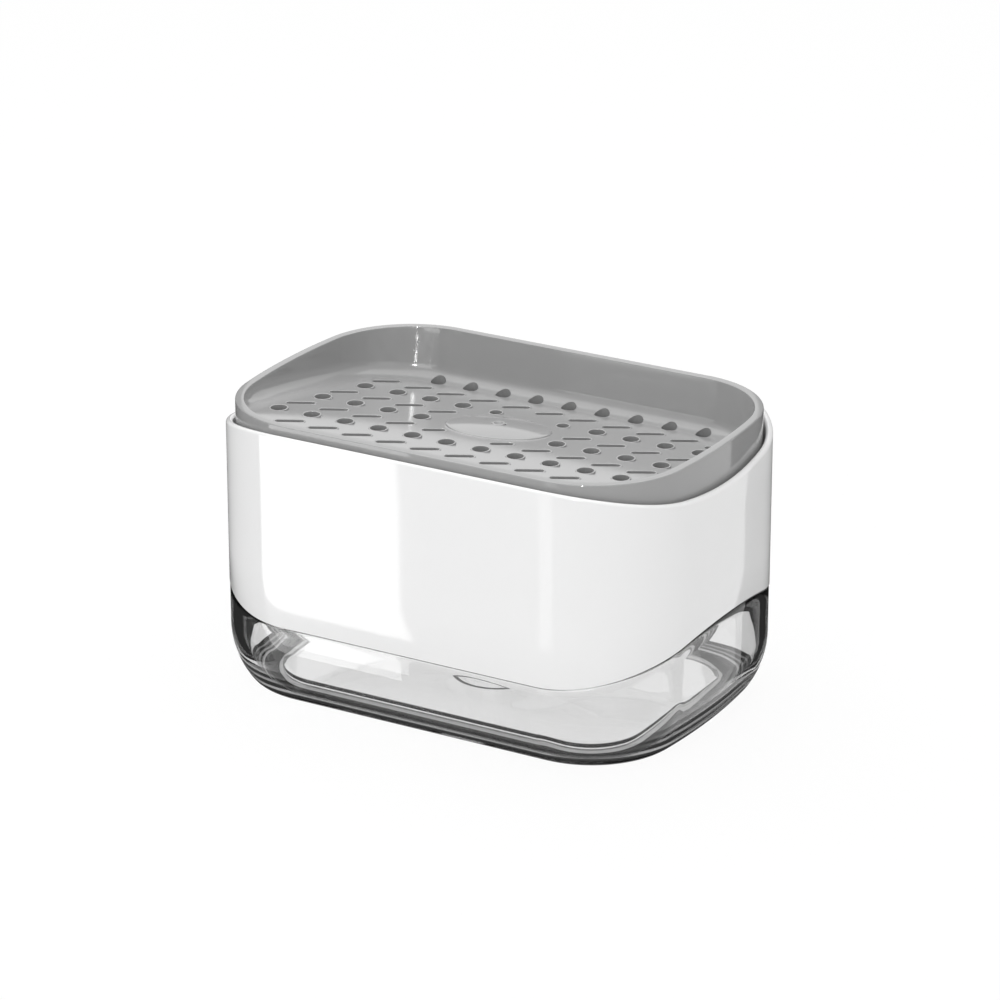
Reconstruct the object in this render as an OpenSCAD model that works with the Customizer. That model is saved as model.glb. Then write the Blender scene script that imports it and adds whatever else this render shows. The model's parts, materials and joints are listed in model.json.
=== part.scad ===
// Pump caddy for dish soap: a clear tank, a white cover with a pump hung in it,
// and a grey tray that is pressed down to bring soap up through its middle.
// Millimetres. The origin is under the middle of the tank, +X runs along the
// caddy, +Y runs to its back and +Z points up.

/* [Outline] */
// Length of the caddy from end to end
body_l = 140; // [130:1:160]
// Depth of the caddy from front to back
body_w = 97; // [90:1:112]
// Radius of the upright corners
corner_r = 30; // [26:1:34]
// Radius of the slightly bowed short ends
bow_r = 200; // [160:5:300]

/* [Tank] */
// Depth of the seam on the long sides below the top of the deck
seam_drop = 16.6; // [14:0.2:20]
// How far the seam arches up in the middle of each short end
seam_rise = 10; // [6:0.5:11]
// Thickness of the tank wall
tank_wall = 3.2; // [3:0.1:4]
// Thickness of the tank floor
tank_floor = 3; // [2.6:0.1:4]
// Radius where the floor of the tank meets its wall
tank_fillet = 3; // [2:0.5:5]
// Height at which the wall starts to curve in towards the foot
belly_h = 16; // [13:0.5:19]
// Radius of that curve
belly_r = 24; // [21:0.5:30]
// Radius under the lower edge of the tank
foot_r = 4; // [3:0.5:5]
// Width of the ring that the tank stands on
foot_w = 4; // [3:0.5:6]
// Height of the hollow inside that ring
foot_hollow = 0.8; // [0.4:0.1:1.2]
// Width of the shallow gutter along the foot of the wall
gutter_w = 4.5; // [3:0.5:6]
// Depth of that gutter
gutter_d = 0.8; // [0.4:0.1:1]
// Diameter of the sump that the inlet stands in
sump_d = 19; // [18:0.5:24]
// Depth of the sump
sump_depth = 1; // [0.6:0.1:1.4]

/* [Cover] */
// Height of the lip on the long sides
lip_h = 78.2; // [77:0.2:82]
// How far the lip dips in the middle of each short end
lip_dip = 8; // [4:0.5:10]
// Thickness of the cover wall above the deck
cover_wall = 2; // [1.8:0.1:2.4]
// Thickness of the skirt that hangs round the neck of the tank
skirt_wall = 1.4; // [1.2:0.1:1.5]
// Thickness of the deck
deck_t = 2; // [1.6:0.1:2.6]
// Depth of the deck below the lip, which leaves room for the tray's travel
deck_drop = 38.2; // [36:0.2:39.2]
// Outer diameter of the neck that carries the pump
neck_d = 28; // [27:0.5:30]
// Number of guide ribs on each long side
side_ribs = 3; // [2:1:5]

/* [Tray] */
// How far the rim of the tray stands above the lip
rim_rise = 1.8; // [1:0.1:3]
// Width of the flat rim
rim_w = 2.4; // [2.4:0.1:3]
// Thickness of the tray wall below the rim
tray_wall = 1.8; // [1.5:0.1:2.2]
// Thickness of the tray floor
tray_floor = 2.2; // [1.8:0.1:2.6]
// Overall height of the tray
tray_h = 22; // [20:0.5:24]
// Slope of the floor, down towards the back
floor_tilt = 9.6; // [8:0.1:10.5]
// Radius where the floor meets the inner wall
floor_fillet = 4.5; // [2:0.5:6]
// Spacing of the drain holes along the tray
pitch_x = 10.43; // [10:0.01:11]
// Spacing of the rows from front to back
pitch_y = 10.9; // [10.4:0.1:11.4]
// Diameter of a drain hole
drain_d = 4.3; // [3.5:0.1:5]
// Length of a drain slot
slot_l = 7.8; // [6:0.2:8.4]
// Width of a drain slot
slot_w = 1.6; // [1.2:0.1:2]
// Diameter of the low dome round the soap outlet
dome_d = 28.4; // [24:0.2:30]
// How far the middle of that dome stands above the floor
dome_rise = 1.35; // [0.8:0.05:1.6]
// How far the soap outlet stands above the dome
outlet_rise = 0.3; // [0.2:0.1:0.6]
// Depth of the stiffening ribs under the floor
web_drop = 4; // [2:0.5:5]

/* [Pump] */
// Travel of the tray when it is pressed
stroke = 8; // [5:0.5:9]
// Bore of the pump cylinder
pump_bore = 14; // [13.4:0.1:14.4]
// Wall of the pump cylinder
pump_wall = 1.5; // [1.2:0.1:1.7]
// Diameter of the hollow stem
stem_d = 9; // [8.6:0.1:9.4]
// Diameter of the inlet ball
inlet_ball_d = 5; // [4.6:0.1:5.4]
// Diameter of the outlet ball
outlet_ball_d = 4.2; // [4:0.1:4.4]
// Travel of each ball off its seat
ball_lift = 1.4; // [1:0.1:1.8]
// Diameter of the spring wire
wire_d = 0.9; // [0.7:0.1:1]
// Outside diameter of the spring
spring_d = 10.4; // [9.8:0.1:10.8]
// Turns of the spring
spring_turns = 5; // [4:1:6]

/* [Hidden] */

$fn = 64;
// Facets on the widest arcs and segments in one rounded edge
wide_fn = 360;
edge_steps = 4;
// Everything that cuts runs on by this much
over = 1;
// How far the parts of a swept solid run into one another
join_lap = 0.6;
join_swing = 0.17;
hair = 0.02;

// Clearances
seam_gap = 0.3;
slide_gap = 0.3;
tray_gap = 0.6;
run_gap = 0.05;
seat_gap = 0.1;

// Outline of the body: where its corners and its bowed ends are centred
body_size = [body_l, body_w];

// Arches of the seam and the lip, each an arc that spans the depth of the body
function arch_r(rise) = (body_w * body_w / 4 + rise * rise) / (2 * rise);
deck_h = lip_h - deck_drop;
seam_h = deck_h - seam_drop;
seam_r = arch_r(seam_rise);
lip_r = arch_r(lip_dip);

// Tank
tank_in = seam_gap / 2;
neck_in = skirt_wall + slide_gap;
belly_x = tank_in + belly_r;
gutter_h = tank_floor - gutter_d;
seal_t = 1;
tank_h = deck_h - deck_t - seal_t;

// A curve that draws in from an upright face and runs tangent into a smaller
// radius which ends level: where the smaller radius is centred, and the angle
// at which the one takes over from the other
function blend_x(reach, r, z) =
    belly_x - sqrt(pow(reach - r, 2) - pow(belly_h - z - r, 2));
function blend_angle(reach, r, z) =
    180 + atan2(belly_h - z - r, belly_x - blend_x(reach, r, z));

wall_reach = belly_x - tank_wall;
foot_x = blend_x(belly_r, foot_r, 0);
floor_x = foot_x + foot_w;
gutter_x = blend_x(wall_reach, tank_fillet, gutter_h) + gutter_w;

// Cover
plug_drop = 3.6;
plug_wall = 1.6;
seal_w = 1.6;
seal_in = tank_wall + slide_gap;
plug_in = seal_in + seal_w;
rib_w = 3;
rib_h = tray_gap - slide_gap;
rib_spread = body_l / 3;

// Tray. Its floor meets the rim along the front, so the middle of the floor
// lies lower by half of the slope.
rim_h = lip_h + rim_rise;
tray_in = cover_wall + tray_gap;
rim_round = 0.4;
tray_foot = rim_h - tray_h;
cavity_in = tray_in + rim_w;
inner_size = body_size - 2 * cavity_in * [1, 1];
front_step = 0.6;
floor_h = rim_h - front_step - inner_size.y / 2 * tan(floor_tilt);
floor_drop = front_step + inner_size.y * tan(floor_tilt);
// The cavity leans with its floor, so its outline is foreshortened there
cavity_size = [inner_size.x, inner_size.y * cos(floor_tilt)];
cavity_shift = (rim_h - floor_h) * sin(floor_tilt);
columns = 5;
rows = 8;
slot_angle = 47;
dome_edge = 0.4;
dome_arc_r = (dome_d * dome_d / 4 + pow(dome_rise - dome_edge, 2))
    / (2 * (dome_rise - dome_edge));
pad_step = 1.6;
pad_t = 1.1;
web_t = 1.2;
// Drains nearer to the dome than the first share of its radius are left out,
// and those nearer than the second are drawn smaller by the third
skip_share = 1.32;
near_share = 1.5;
small_share = 0.75;

// Soap outlet in the middle of the tray, from the dome down
insert_depth = 2.4;
insert_h = floor_h - insert_depth;
insert_r = 1.8;
insert_round = 0.3;
outlet_top_h = floor_h + dome_rise / cos(floor_tilt) + outlet_rise;
outlet_hole_r = 0.7;
outlet_cup_r = 1.2;
outlet_cup = 0.6;
valve_t = 0.8;
valve_h = insert_h - valve_t;
valve_r = insert_r;
slit_r = 0.4;
channel_r = 1.2;
channel_l = 0.8;
stem_top = valve_h - channel_l;
socket_depth = 4.5;
boss_wall = 2.4;
boss_foot = stem_top - socket_depth;
boss_r = stem_d / 2 + boss_wall;

// Pump, from the ring nut down
boss_gap = 0.5;
nut_top = boss_foot - stroke - boss_gap;
nut_top_t = 1.8;
guide_top = nut_top - nut_top_t;
guide_flange_t = 0.8;
flange_top = guide_top - guide_flange_t;
flange_t = 1.6;
gasket_t = 1;
neck_top = flange_top - flange_t - gasket_t;
neck_wall = 2.4;
flange_step = 1;
flange_r = neck_d / 2 - flange_step;
neck_bore_r = neck_d / 2 - neck_wall;
pump_r = pump_bore / 2;
pump_out_r = pump_r + pump_wall;
guide_l = 8;
guide_foot = guide_top - guide_l;
wiper_w = 1.4;
wiper_t = 2;
wiper_flare = 0.2;
stem_r = stem_d / 2;
seal_r = stem_r + wiper_w;
nut_wall = 2.4;
nut_r = neck_d / 2 + seat_gap + nut_wall;
nut_clear = 2;
nut_foot = deck_h + nut_clear;
nut_grips = 18;
grip_r = 1.1;

// Plunger
piston_gap = 0.4;
piston_l = 5;
piston_top = guide_foot - piston_gap;
piston_foot = piston_top - piston_l;
piston_r = pump_r - run_gap;
lip_l = 1.2;
lip_taper = 0.8;
waist_in = 0.8;
journal_r = 3.2;
spigot_r = 2.2;
spigot_l = 3.6;
flow_r = 1.4;
core_flange_t = 1.5;
core_step = 0.4;
core_flange_r = spring_d / 2 + core_step;
core_foot = piston_foot - core_flange_t;
chamber_gap = 0.6;
chamber_r = outlet_ball_d / 2 + chamber_gap;
seat_r = outlet_ball_d / 2 * sin(45);
outlet_seat_depth = 7.2;
outlet_seat_h = stem_top - outlet_seat_depth;
outlet_ball_h = outlet_seat_h + outlet_ball_d / 2 * cos(45) + run_gap;
outlet_stop_h = outlet_ball_h + outlet_ball_d / 2 + ball_lift;
vent_w = 0.8;
vent_h = 0.6;

// Foot of the pump, from the sump up
foot_gap = 0.6;
sump_gap = 1.5;
strainer_t = 3.4;
strainer_wall = 1.2;
strainer_r = sump_d / 2 - sump_gap;
strainer_foot = tank_floor - sump_depth + foot_gap;
strainer_top = strainer_foot + strainer_t;
strainer_slots = 8;
strainer_slot_w = 1.2;
strainer_slot_h = 1.4;
tube_r = 3;
tube_bore_r = 2;
tube_free = 1.4;
inlet_l = 5;
inlet_wall = 1.2;
inlet_seat_t = 1;
inlet_foot = strainer_top + tube_free;
tube_foot = strainer_top - strainer_wall;
tube_top = inlet_foot + inlet_l;
cone_foot = tube_top + inlet_seat_t;
cone_h = 3.4;
pump_floor = cone_foot + cone_h;
ball_cone_h = 1;
ball_seat_r = inlet_ball_d / 2 * sin(45);
inlet_ball_h = pump_floor - ball_cone_h + inlet_ball_d / 2 * cos(45) + run_gap;
inlet_stop_h = inlet_ball_h + inlet_ball_d / 2 + ball_lift;
cage_t = 0.9;
cage_gap = 0.5;
cage_top = inlet_stop_h + cage_t;
cage_bore_r = inlet_ball_d / 2 + cage_gap;
cage_slot_r = 4;
cage_slot_w = 1.4;

// Return spring between the cage and the plunger
spring_foot = cage_top;
spring_top = core_foot;
coil_r = (spring_d - wire_d) / 2;
wire_gap = 0.15;
spring_rings = 20;
spring_sides = 8;

tank_colour = [0.82, 0.86, 0.88, 0.45];
cover_colour = "white";
tray_colour = [0.62, 0.62, 0.63];
pump_colour = [0.9, 0.9, 0.88];
seal_colour = [0.75, 0.77, 0.78];
steel_colour = [0.7, 0.71, 0.73];

// Rounded outline whose short ends bow outwards: each corner arc runs on into
// the wide arc of the end without a kink. It is drawn in by inset all round.
module outline(size, corner, bow, inset = 0) {
    y = size.y / 2 - corner;
    swing = asin(y / (bow - corner));
    far = bow - size.x / 2;
    x = (bow - corner) * cos(swing) - far;
    intersection() {
        translate([-far, 0]) circle(bow - inset, $fn = wide_fn);
        translate([far, 0]) circle(bow - inset, $fn = wide_fn);
        square([size.x, 2 * (bow - inset) * sin(swing)], center = true);
    }
    square([2 * x, size.y - 2 * inset], center = true);
    for (sx = [-1, 1], sy = [-1, 1])
        translate([sx * x, sy * y]) circle(corner - inset);
}

// A solid on that outline whose edge follows a profile. The profile's x is the
// distance in from the outer face and its y is the height. Each corner is
// turned about its own centre and each end about its far centre. The straight
// and bowed parts are a hair smaller, so that they meet the corners cleanly.
module swept(size, corner, bow) {
    y = size.y / 2 - corner;
    swing = asin(y / (bow - corner)) + join_swing;
    far = bow - size.x / 2;
    x = sqrt(pow(bow - corner, 2) - y * y) - far;
    for (sx = [0, 1]) mirror([sx, 0, 0]) {
        translate([-far, 0, 0])
            rotate_extrude(angle = 2 * swing, start = -swing, $fn = wide_fn)
                profile_at(bow - hair, size.x / 2 - x + join_lap) children();
        for (sy = [0, 1]) mirror([0, sy, 0])
            translate([x, y, 0]) rotate_extrude() profile_at(corner, corner) children();
    }
    translate([-x - join_lap, 0, 0])
        rotate([90, 0, 90])
            linear_extrude(2 * (x + join_lap))
                for (sy = [0, 1]) mirror([sy, 0])
                    profile_at(size.y / 2 - hair, size.y / 2) children();
}

// A profile set with its outer face at r and cut off where it has gone in by reach
module profile_at(r, reach) translate([r, 0]) mirror([1, 0]) intersection() {
    children();
    translate([-reach, -body_l]) square([2 * reach, 2 * body_l]);
}

module body_swept() swept(body_size, corner_r, bow_r) children();

// A plate or an upright frame on the outline of the body
module body_plate(inset, foot, top)
    translate([0, 0, foot])
        linear_extrude(top - foot) outline(body_size, corner_r, bow_r, inset);

module body_frame(outer, inner, foot, top) difference() {
    body_plate(outer, foot, top);
    body_plate(inner, foot - over, top + over);
}

// Points along an arc, for the rounded corners of a profile. The first few can
// be left out where the arc runs on from a point that is there already.
function arc(centre, r, from, to, first = 0) =
    [for (i = [first : edge_steps])
        let (a = from + (to - from) * i / edge_steps) centre + r * [cos(a), sin(a)]];

// The face of the tank wall from its upright part down to the level z
function belly(reach, r, z) = concat(
    arc([belly_x, belly_h], reach, 180, blend_angle(reach, r, z)),
    arc([blend_x(reach, r, z), z + r], r, blend_angle(reach, r, z), 270, 1));

// Round bar along X that shapes an arched edge
module arch_bar(r, z)
    translate([-body_l / 2 - over, 0, z])
        rotate([0, 90, 0]) cylinder(r = r, h = body_l + 2 * over, $fn = wide_fn);

module disc(r, foot, top)
    translate([0, 0, foot]) cylinder(r = r, h = top - foot);

module ring(outer, inner, foot, top) difference() {
    disc(outer, foot, top);
    disc(inner, foot - over, top + over);
}

// Clear tank: thick wall that curves in to a foot ring, a gutter and a sump in
// its floor, and a thinner neck that stands up inside the cover
module tank_shell() difference() {
    union() {
        intersection() {
            body_swept() polygon(concat(
                [[tank_in, seam_h + seam_rise]], belly(belly_r, foot_r, 0),
                [[body_l, 0], [body_l, seam_h + seam_rise]]));
            arch_bar(seam_r - seam_gap / 2, seam_h + seam_rise - seam_r);
        }
        body_plate(neck_in, belly_h, tank_h);
    }
    body_swept() polygon(concat(
        [[tank_wall, tank_h + over]], belly(wall_reach, tank_fillet, gutter_h),
        [[body_l, gutter_h], [body_l, tank_h + over]]));
    body_plate(floor_x, -over, foot_hollow);
}

module tank() color(tank_colour) difference() {
    union() {
        tank_shell();
        body_plate(gutter_x, (foot_hollow + gutter_h) / 2, tank_floor);
    }
    translate([0, 0, tank_floor - sump_depth])
        cylinder(d1 = sump_d - sump_depth, d2 = sump_d + sump_depth, h = 2 * sump_depth);
}

// White cover: arched skirt, dipped lip, drip deck and the neck for the pump
module cover_skirt() difference() {
    body_plate(0, seam_h - seam_gap, lip_h + over);
    body_plate(skirt_wall, seam_h - seam_gap - over, deck_h - deck_t);
    body_plate(cover_wall, deck_h, lip_h + 2 * over);
    arch_bar(seam_r + seam_gap / 2, seam_h + seam_rise - seam_r);
    arch_bar(lip_r, lip_h - lip_dip + lip_r);
}

// Rib on the inside of the cover wall that keeps the tray centred
module guide_rib(reach)
    translate([-rib_w / 2, -reach + cover_wall / 2, deck_h])
        cube([rib_w, cover_wall / 2 + rib_h, tray_foot + stroke / 2 - deck_h]);

module cover() color(cover_colour) {
    difference() {
        union() {
            cover_skirt();
            disc(neck_d / 2, deck_h - deck_t, neck_top);
        }
        disc(neck_bore_r, deck_h - deck_t - over, neck_top + over);
    }
    body_frame(plug_in, plug_in + plug_wall, deck_h - deck_t - plug_drop, deck_h - deck_t);
    for (side = [0, 180]) rotate([0, 0, side]) {
        for (i = [0 : side_ribs - 1])
            translate([rib_spread * (2 * i / (side_ribs - 1) - 1) / 2, 0, 0])
                guide_rib(body_w / 2);
        rotate([0, 0, 90]) guide_rib(body_l / 2);
    }
}

// Soft ring round the plug of the cover: it lies on the rim of the tank and
// reaches down inside its neck
module tank_seal() color(seal_colour) {
    body_frame(neck_in, plug_in, tank_h, deck_h - deck_t);
    body_frame(seal_in, plug_in, deck_h - deck_t - plug_drop, deck_h - deck_t);
}

// Pump cylinder: flange, barrel, valve seat and the socket for the inlet tube
module pump_cylinder() color(pump_colour) rotate_extrude() polygon([
    [tube_r + run_gap, inlet_foot], [tube_r + inlet_wall, inlet_foot],
    [tube_r + inlet_wall, cone_foot], [pump_out_r, pump_floor],
    [pump_out_r, neck_top + gasket_t], [flange_r, neck_top + gasket_t],
    [flange_r, flange_top], [pump_r, flange_top], [pump_r, pump_floor],
    [ball_seat_r + ball_cone_h, pump_floor], [ball_seat_r, pump_floor - ball_cone_h],
    [tube_bore_r, cone_foot], [tube_bore_r, tube_top],
    [tube_r + run_gap, tube_top]]);

module neck_gasket() color(seal_colour)
    ring(flange_r, neck_bore_r, neck_top, neck_top + gasket_t);

// Ring nut with gripping flutes, screwed down over the neck
module ring_nut() color(pump_colour) difference() {
    disc(nut_r, nut_foot, nut_top);
    disc(neck_d / 2 + seat_gap, nut_foot - over, guide_top);
    disc(seal_r + seat_gap, guide_top - over, nut_top + over);
    for (i = [0 : nut_grips - 1]) rotate([0, 0, 360 * i / nut_grips])
        translate([nut_r + grip_r / 2, 0, 0])
            disc(grip_r, nut_foot - over, nut_top - nut_top_t);
}

// Guide that closes the cylinder, with a pocket for the wiper seal
module stem_guide() color(pump_colour) rotate_extrude() polygon([
    [stem_r + run_gap, guide_foot], [pump_r - run_gap, guide_foot],
    [pump_r - run_gap, flange_top], [flange_r, flange_top],
    [flange_r, guide_top], [seal_r, guide_top],
    [seal_r, guide_top - wiper_t], [stem_r + run_gap, guide_top - wiper_t]]);

module wiper_seal() color(seal_colour) rotate_extrude() polygon([
    [stem_r + run_gap, guide_top - wiper_t], [seal_r, guide_top - wiper_t],
    [seal_r, guide_top], [stem_r + wiper_flare, guide_top]]);

// Cage over the inlet ball; the spring stands on it
module inlet_cage() color(pump_colour) difference() {
    disc(pump_r - run_gap, pump_floor, cage_top);
    disc(cage_bore_r, pump_floor - over, inlet_stop_h);
    for (a = [0, 120, 240]) rotate([0, 0, a])
        translate([0, -cage_slot_w / 2, pump_floor - over])
            cube([cage_slot_r, cage_slot_w, cage_top - pump_floor + 2 * over]);
}

module dip_tube() color(seal_colour)
    ring(tube_r, tube_bore_r, tube_foot, tube_top);

// Slotted foot that holds back lumps and keeps the inlet off the sump floor
module inlet_strainer() color(pump_colour) difference() {
    disc(strainer_r, strainer_foot, strainer_top);
    disc(strainer_r - strainer_wall, strainer_foot - over, tube_foot);
    disc(tube_r, strainer_foot, strainer_top + over);
    for (i = [0 : strainer_slots - 1]) rotate([0, 0, 360 * i / strainer_slots])
        translate([0, -strainer_slot_w / 2, strainer_foot - over])
            cube([strainer_r + over, strainer_slot_w, over + strainer_slot_h]);
}

// Return spring: one unbroken wire that starts and ends with a close turn
function coil_rise(t, height) =
    let (close = wire_d + wire_gap)
    t < 1 ? t * close : t > spring_turns - 1 ? height - (spring_turns - t) * close
        : close + (t - 1) * (height - 2 * close) / (spring_turns - 2);

module return_spring() color(steel_colour) {
    height = spring_top - spring_foot - wire_d;
    loops = spring_rings * spring_turns;
    n = spring_sides;
    points = [for (i = [0 : loops], j = [0 : n - 1])
        let (turn = 360 * i / spring_rings, side = 360 * j / n,
             r = coil_r + wire_d / 2 * cos(side),
             z = spring_foot + wire_d / 2 + coil_rise(i / spring_rings, height))
        [r * cos(turn), r * sin(turn), z + wire_d / 2 * sin(side)]];
    skin = [for (i = [0 : loops - 1], j = [0 : n - 1])
        [i * n + j, (i + 1) * n + j, (i + 1) * n + (j + 1) % n, i * n + (j + 1) % n]];
    start = [for (j = [0 : n - 1]) j];
    end = [for (j = [0 : n - 1]) loops * n + n - 1 - j];
    polyhedron(points, concat([start], skin, [end]));
}

module inlet_ball() color(steel_colour)
    translate([0, 0, inlet_ball_h]) sphere(d = inlet_ball_d);

// Hollow stem with the outlet valve seat near its top
module plunger_stem() color(pump_colour) rotate_extrude() polygon([
    [spigot_r + run_gap, piston_foot], [journal_r, piston_foot],
    [journal_r, piston_top], [stem_r, piston_top], [stem_r, stem_top],
    [chamber_r, stem_top], [chamber_r, outlet_seat_h + chamber_r - seat_r],
    [seat_r, outlet_seat_h], [flow_r, outlet_seat_h],
    [flow_r, piston_foot + spigot_l], [spigot_r + run_gap, piston_foot + spigot_l]]);

// Plug that holds the piston on the stem and takes the push of the spring
module piston_core() color(pump_colour) rotate_extrude() polygon([
    [flow_r, core_foot], [core_flange_r, core_foot], [core_flange_r, piston_foot],
    [spigot_r, piston_foot], [spigot_r, piston_foot + spigot_l],
    [flow_r, piston_foot + spigot_l]]);

// Piston with a sealing lip at each end and a waist between them
module piston() color(seal_colour) rotate_extrude() polygon([
    [journal_r, piston_foot], [piston_r, piston_foot], [piston_r, piston_foot + lip_l],
    [piston_r - waist_in, piston_foot + lip_l + lip_taper],
    [piston_r - waist_in, piston_top - lip_l - lip_taper],
    [piston_r, piston_top - lip_l], [piston_r, piston_top], [journal_r, piston_top]]);

// Stop over the outlet ball, slotted below so that the ball can't block it
module outlet_cage() color(pump_colour) difference() {
    ring(chamber_r, channel_r, outlet_stop_h, stem_top);
    for (a = [0, 90]) rotate([0, 0, a])
        translate([-chamber_r - over, -vent_w / 2, outlet_stop_h - over])
            cube([2 * (chamber_r + over), vent_w, over + vent_h]);
}

module outlet_ball() color(steel_colour)
    translate([0, 0, outlet_ball_h]) sphere(d = outlet_ball_d);

// Grey press tray: a rim on a thin wall, a sloped floor full of drains, and a
// boss underneath that sits on the stem
module on_floor() translate([0, 0, floor_h]) rotate([-floor_tilt, 0, 0]) children();

module sponge_space() on_floor() translate([0, -cavity_shift, 0]) {
    top = floor_drop + 2 * over;
    swept(cavity_size, corner_r - cavity_in, bow_r - cavity_in) polygon(concat(
        [[0, top]], arc([floor_fillet, floor_fillet], floor_fillet, 180, 270),
        [[body_l, 0], [body_l, top]]));
}

// Low round dome that keeps water away from the soap outlet
module dome() rotate_extrude() polygon(concat([[0, -over], [dome_d / 2, -over]],
    arc([0, dome_rise - dome_arc_r], dome_arc_r, acos(dome_d / 2 / dome_arc_r), 90)));

// The hollow under the floor, with the boss, the pad under the dish and the
// ribs left standing in it
module underside() difference() {
    body_plate(tray_in + tray_wall, tray_foot - over, rim_h);
    on_floor() {
        translate([-body_l / 2, -body_w, -tray_floor]) cube([body_l, 2 * body_w, rim_h]);
        translate([0, 0, -tray_floor - pad_t])
            cylinder(d = dome_d + 2 * pad_step, h = pad_t + over);
        for (s = [-1, 1]) {
            translate([s * pitch_x * columns / 2 - web_t / 2, -body_w, -tray_floor - web_drop])
                cube([web_t, 2 * body_w, web_drop + over]);
            translate([-body_l / 2, s * pitch_y - web_t / 2, -tray_floor - web_drop])
                cube([body_l, web_t, web_drop + over]);
        }
    }
    disc(boss_r, boss_foot, rim_h);
}

module drain(x, y, slotted) {
    reach = norm([x, y]) / (dome_d / 2);
    share = reach < near_share ? small_share : 1;
    run = share * (slot_l - slot_w) / 2;
    if (reach > skip_share) translate([x, y]) {
        if (slotted) rotate(slot_angle) polygon(concat(
            arc([run, 0], slot_w / 2, -90, 90), arc([-run, 0], slot_w / 2, 90, 270)));
        else circle(share * drain_d / 2);
    }
}

module drains() translate([0, 0, tray_foot]) linear_extrude(tray_h + over)
    for (j = [0 : rows - 1]) {
        last = j > 0 && j < rows - 1 ? columns : columns - 1;
        for (i = [-last : last])
            drain(pitch_x * i, pitch_y * (j - (rows - 1) / 2), j % 2 == 0);
    }

module tray() color(tray_colour) difference() {
    union() {
        difference() {
            body_swept() polygon(concat(
                [[tray_in, tray_foot]],
                arc([tray_in + rim_round, rim_h - rim_round], rim_round, 180, 90),
                [[body_l, rim_h], [body_l, tray_foot]]));
            sponge_space();
            underside();
        }
        on_floor() dome();
    }
    drains();
    disc(stem_r + run_gap, boss_foot - over, stem_top);
    disc(channel_r, stem_top - over, rim_h);
    disc(valve_r + seat_gap / 2, valve_h, rim_h);
    disc(insert_r + seat_gap / 2, insert_h, rim_h);
}

// Small spout pressed into the top of the dome, over a slit valve
module nozzle_insert() color(tray_colour) rotate_extrude() polygon([
    [outlet_hole_r, insert_h], [insert_r, insert_h],
    [insert_r, outlet_top_h - insert_round], [insert_r - insert_round, outlet_top_h],
    [outlet_cup_r, outlet_top_h], [outlet_hole_r, outlet_top_h - outlet_cup]]);

module outlet_valve() color(seal_colour)
    ring(valve_r, slit_r, valve_h, valve_h + valve_t);

tank();
cover();
tank_seal();
pump_cylinder();
neck_gasket();
ring_nut();
stem_guide();
wiper_seal();
inlet_cage();
dip_tube();
inlet_strainer();
return_spring();
inlet_ball();
plunger_stem();
piston_core();
piston();
outlet_cage();
outlet_ball();
tray();
nozzle_insert();
outlet_valve();
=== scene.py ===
import json
import math

import bpy
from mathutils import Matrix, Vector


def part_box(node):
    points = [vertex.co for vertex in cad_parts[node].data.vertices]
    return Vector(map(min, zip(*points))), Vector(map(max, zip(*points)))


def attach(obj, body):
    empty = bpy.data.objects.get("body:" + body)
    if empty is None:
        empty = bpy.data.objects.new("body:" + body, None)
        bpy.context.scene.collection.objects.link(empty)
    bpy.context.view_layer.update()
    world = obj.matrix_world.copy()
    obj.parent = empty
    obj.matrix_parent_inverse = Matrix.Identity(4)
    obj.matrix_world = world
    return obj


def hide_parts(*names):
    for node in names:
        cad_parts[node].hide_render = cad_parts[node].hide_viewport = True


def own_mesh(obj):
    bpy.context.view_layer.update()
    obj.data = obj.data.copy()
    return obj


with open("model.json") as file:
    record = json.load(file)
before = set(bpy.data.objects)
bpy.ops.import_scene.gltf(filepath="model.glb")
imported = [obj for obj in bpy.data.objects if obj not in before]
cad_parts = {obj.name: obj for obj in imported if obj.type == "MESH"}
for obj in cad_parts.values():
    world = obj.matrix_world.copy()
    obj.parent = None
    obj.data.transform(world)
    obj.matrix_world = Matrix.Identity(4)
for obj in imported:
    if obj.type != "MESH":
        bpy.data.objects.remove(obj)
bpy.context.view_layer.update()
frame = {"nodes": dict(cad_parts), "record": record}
mm = 0.001
smoothAngle = 32  # degrees, sharper edges than this stay sharp
startRadius = 0.05  # of the circle that each loft starts from, in metres
placeDigits = 7  # to which two places in a mesh are the same
noiseMiddle = 0.5
plain = [(0, 0)]  # an edge left sharp

# The shape that tank, cover and tray share, in millimetres like every length below.
body = {"length": 140, "depth": 97, "corner": 30, "bow": 200}
seam = {"height": 23.4, "rise": 10, "gap": 0.3}
lip = {"height": 78.2, "dip": 8}
ringSteps = {"side": 9, "corner": 26, "end": 9}


def archHeight(y, edge, sign, offset=0.0):  # height of an arched edge, an arc over the body's depth
    radius = (body["depth"] ** 2 / 4 + edge["arch"] ** 2) / (2 * edge["arch"])
    return edge["middle"] + sign * (math.sqrt((radius + offset) ** 2 - y * y) - radius)


def seamHeight(y, offset):
    arch = {"arch": seam["rise"], "middle": seam["height"] + seam["rise"]}
    return archHeight(y, arch, 1, offset)


def lipHeight(y):
    return archHeight(y, {"arch": lip["dip"], "middle": lip["height"] - lip["dip"]}, -1)


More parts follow.
